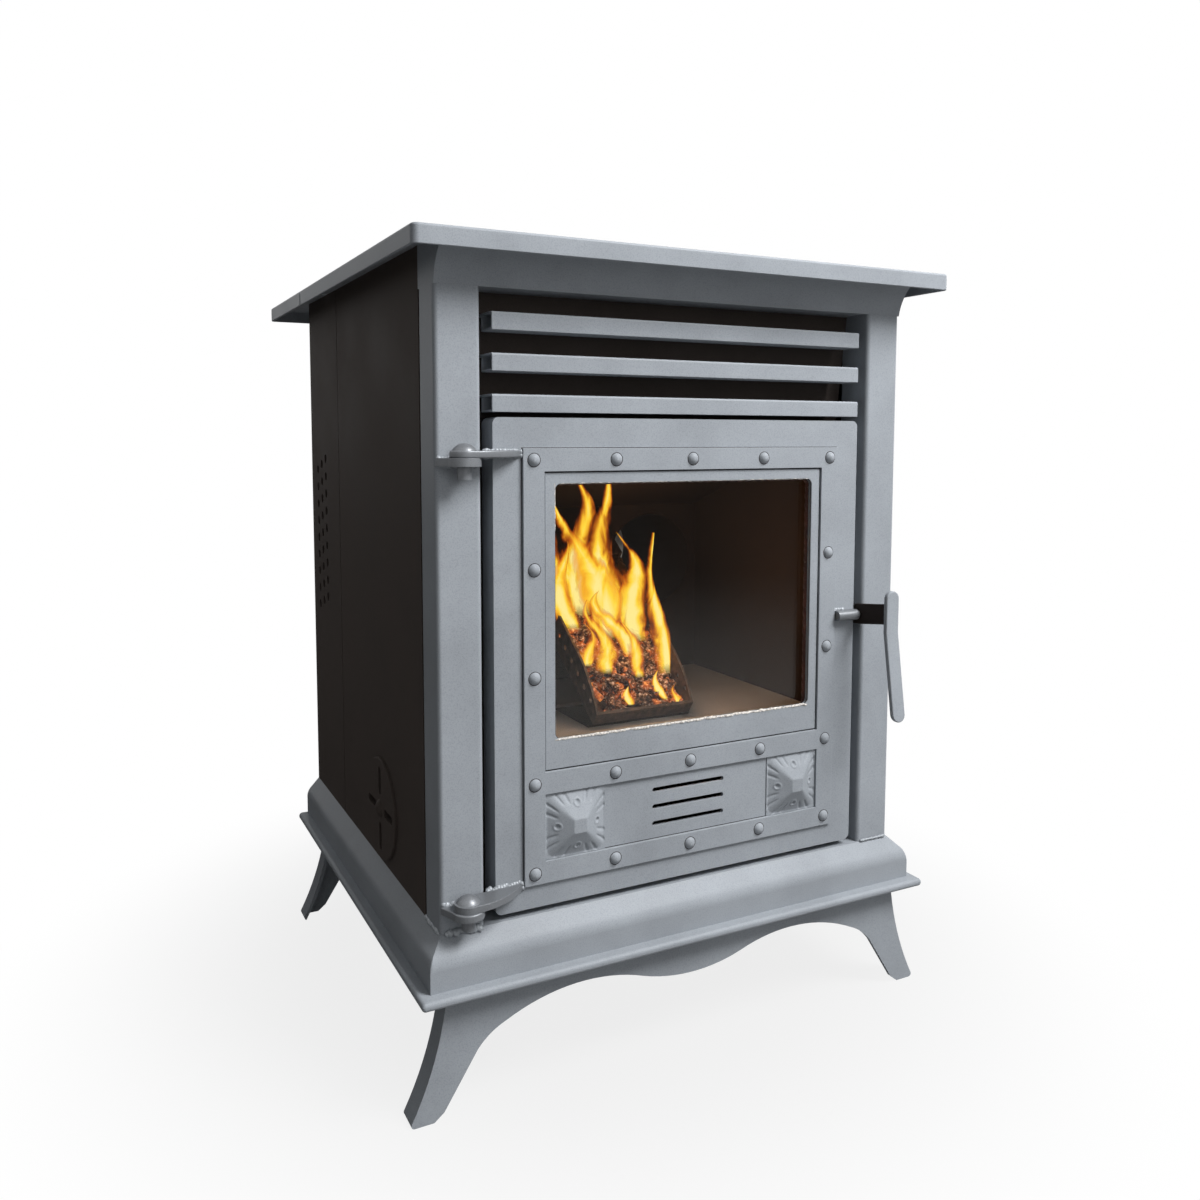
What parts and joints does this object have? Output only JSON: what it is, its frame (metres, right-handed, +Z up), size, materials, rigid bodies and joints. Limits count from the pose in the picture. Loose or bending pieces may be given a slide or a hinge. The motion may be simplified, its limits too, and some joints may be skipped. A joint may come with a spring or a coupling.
{
  "type": "pellet stove",
  "caption": "Freestanding gravity-fed pellet stove of painted sheet steel with a hinged glazed door, lifting latch handle, side air regulator and a rear hopper under a lifting lid.",
  "frame": {"origin": "on the floor under the middle of the stove's outer box", "axes": "+Z up, -Y out of the stove's front, +X to the right as seen from the front"},
  "size_m": [0.554, 0.6082, 0.738],
  "materials": {
    "grey_paint": "satin heat-proof paint",
    "dark_paint": "matt heat-proof paint",
    "basket_iron": "scaled by heat",
    "raw_steel": "plain",
    "pane": "smooth",
    "rope": "woven"
  },
  "bodies": {
    "stove_body": {"ash_pan": "raw_steel", "back_panel": "grey_paint", "base_plate": "grey_paint", "body_floor": "grey_paint", "burner_basket": "basket_iron", "feed_chute": "dark_paint", "firebox_floor": "grey_paint", "firebox_shell": "dark_paint", "flue_ring": "grey_paint", "flue_spigot": "raw_steel", "flue_tube": "raw_steel", "front_legs": "grey_paint", "front_plate": "dark_paint", "hopper": "raw_steel", "latch_keeper": "raw_steel", "left_post": "grey_paint", "left_rear_jacket": "grey_paint", "left_side_panel": "grey_paint", "lid_fixed_knuckles": "raw_steel", "lid_hinge_pins": "raw_steel", "lintel_cove": "grey_paint", "louvre_back": "dark_paint", "lower_fixed_lug": "grey_paint", "lower_slat": "grey_paint", "middle_slat": "grey_paint", "plinth": "grey_paint", "rear_legs": "grey_paint", "regulator_rivet": "grey_paint", "right_post": "grey_paint", "right_rear_jacket": "grey_paint", "right_side_panel": "grey_paint", "smoke_baffle": "dark_paint", "top_plate": "grey_paint", "upper_fixed_lug": "grey_paint", "upper_slat": "grey_paint"},
    "door": {"door_leaf": "grey_paint", "trim_ladder": "grey_paint", "trim_rivets": "grey_paint", "window_bezel": "grey_paint", "window_glass": "pane", "glass_rope": "rope", "glass_clips": "raw_steel", "rope_channel": "dark_paint", "door_rope": "rope", "left_rosette": "grey_paint", "right_rosette": "grey_paint", "upper_door_lug": "grey_paint", "lower_door_lug": "grey_paint", "upper_hinge_pin": "grey_paint", "lower_hinge_pin": "grey_paint", "handle_bush": "grey_paint"},
    "door_handle": {"handle_shaft": "raw_steel", "latch_plate": "dark_paint", "handle_grip": "grey_paint"},
    "air_regulator": {"regulator_disc": "grey_paint"},
    "lid_leaf": {"hopper_lid": "grey_paint", "lid_knuckles": "raw_steel"}
  },
  "joints": [
    {"name": "door_swing", "type": "hinge", "parent": "stove_body", "child": "door", "pos_m": [-0.2265, -0.2599, 0.37], "axis": [0, 0, -1], "range_deg": [0, 110]},
    {"name": "handle_lift", "type": "hinge", "parent": "door", "child": "door_handle", "pos_m": [0.198, -0.2501, 0.39791], "axis": [-1, 0, 0], "range_deg": [0, 50]},
    {"name": "regulator_turn", "type": "hinge", "parent": "stove_body", "child": "air_regulator", "pos_m": [-0.2465, -0.0739, 0.212], "axis": [1, 0, 0], "range_deg": [0, 45]},
    {"name": "lid_lift", "type": "hinge", "parent": "stove_body", "child": "lid_leaf", "pos_m": [0, 0.2904, 0.716], "axis": [-1, 0, 0], "range_deg": [0, 95]}
  ]
}
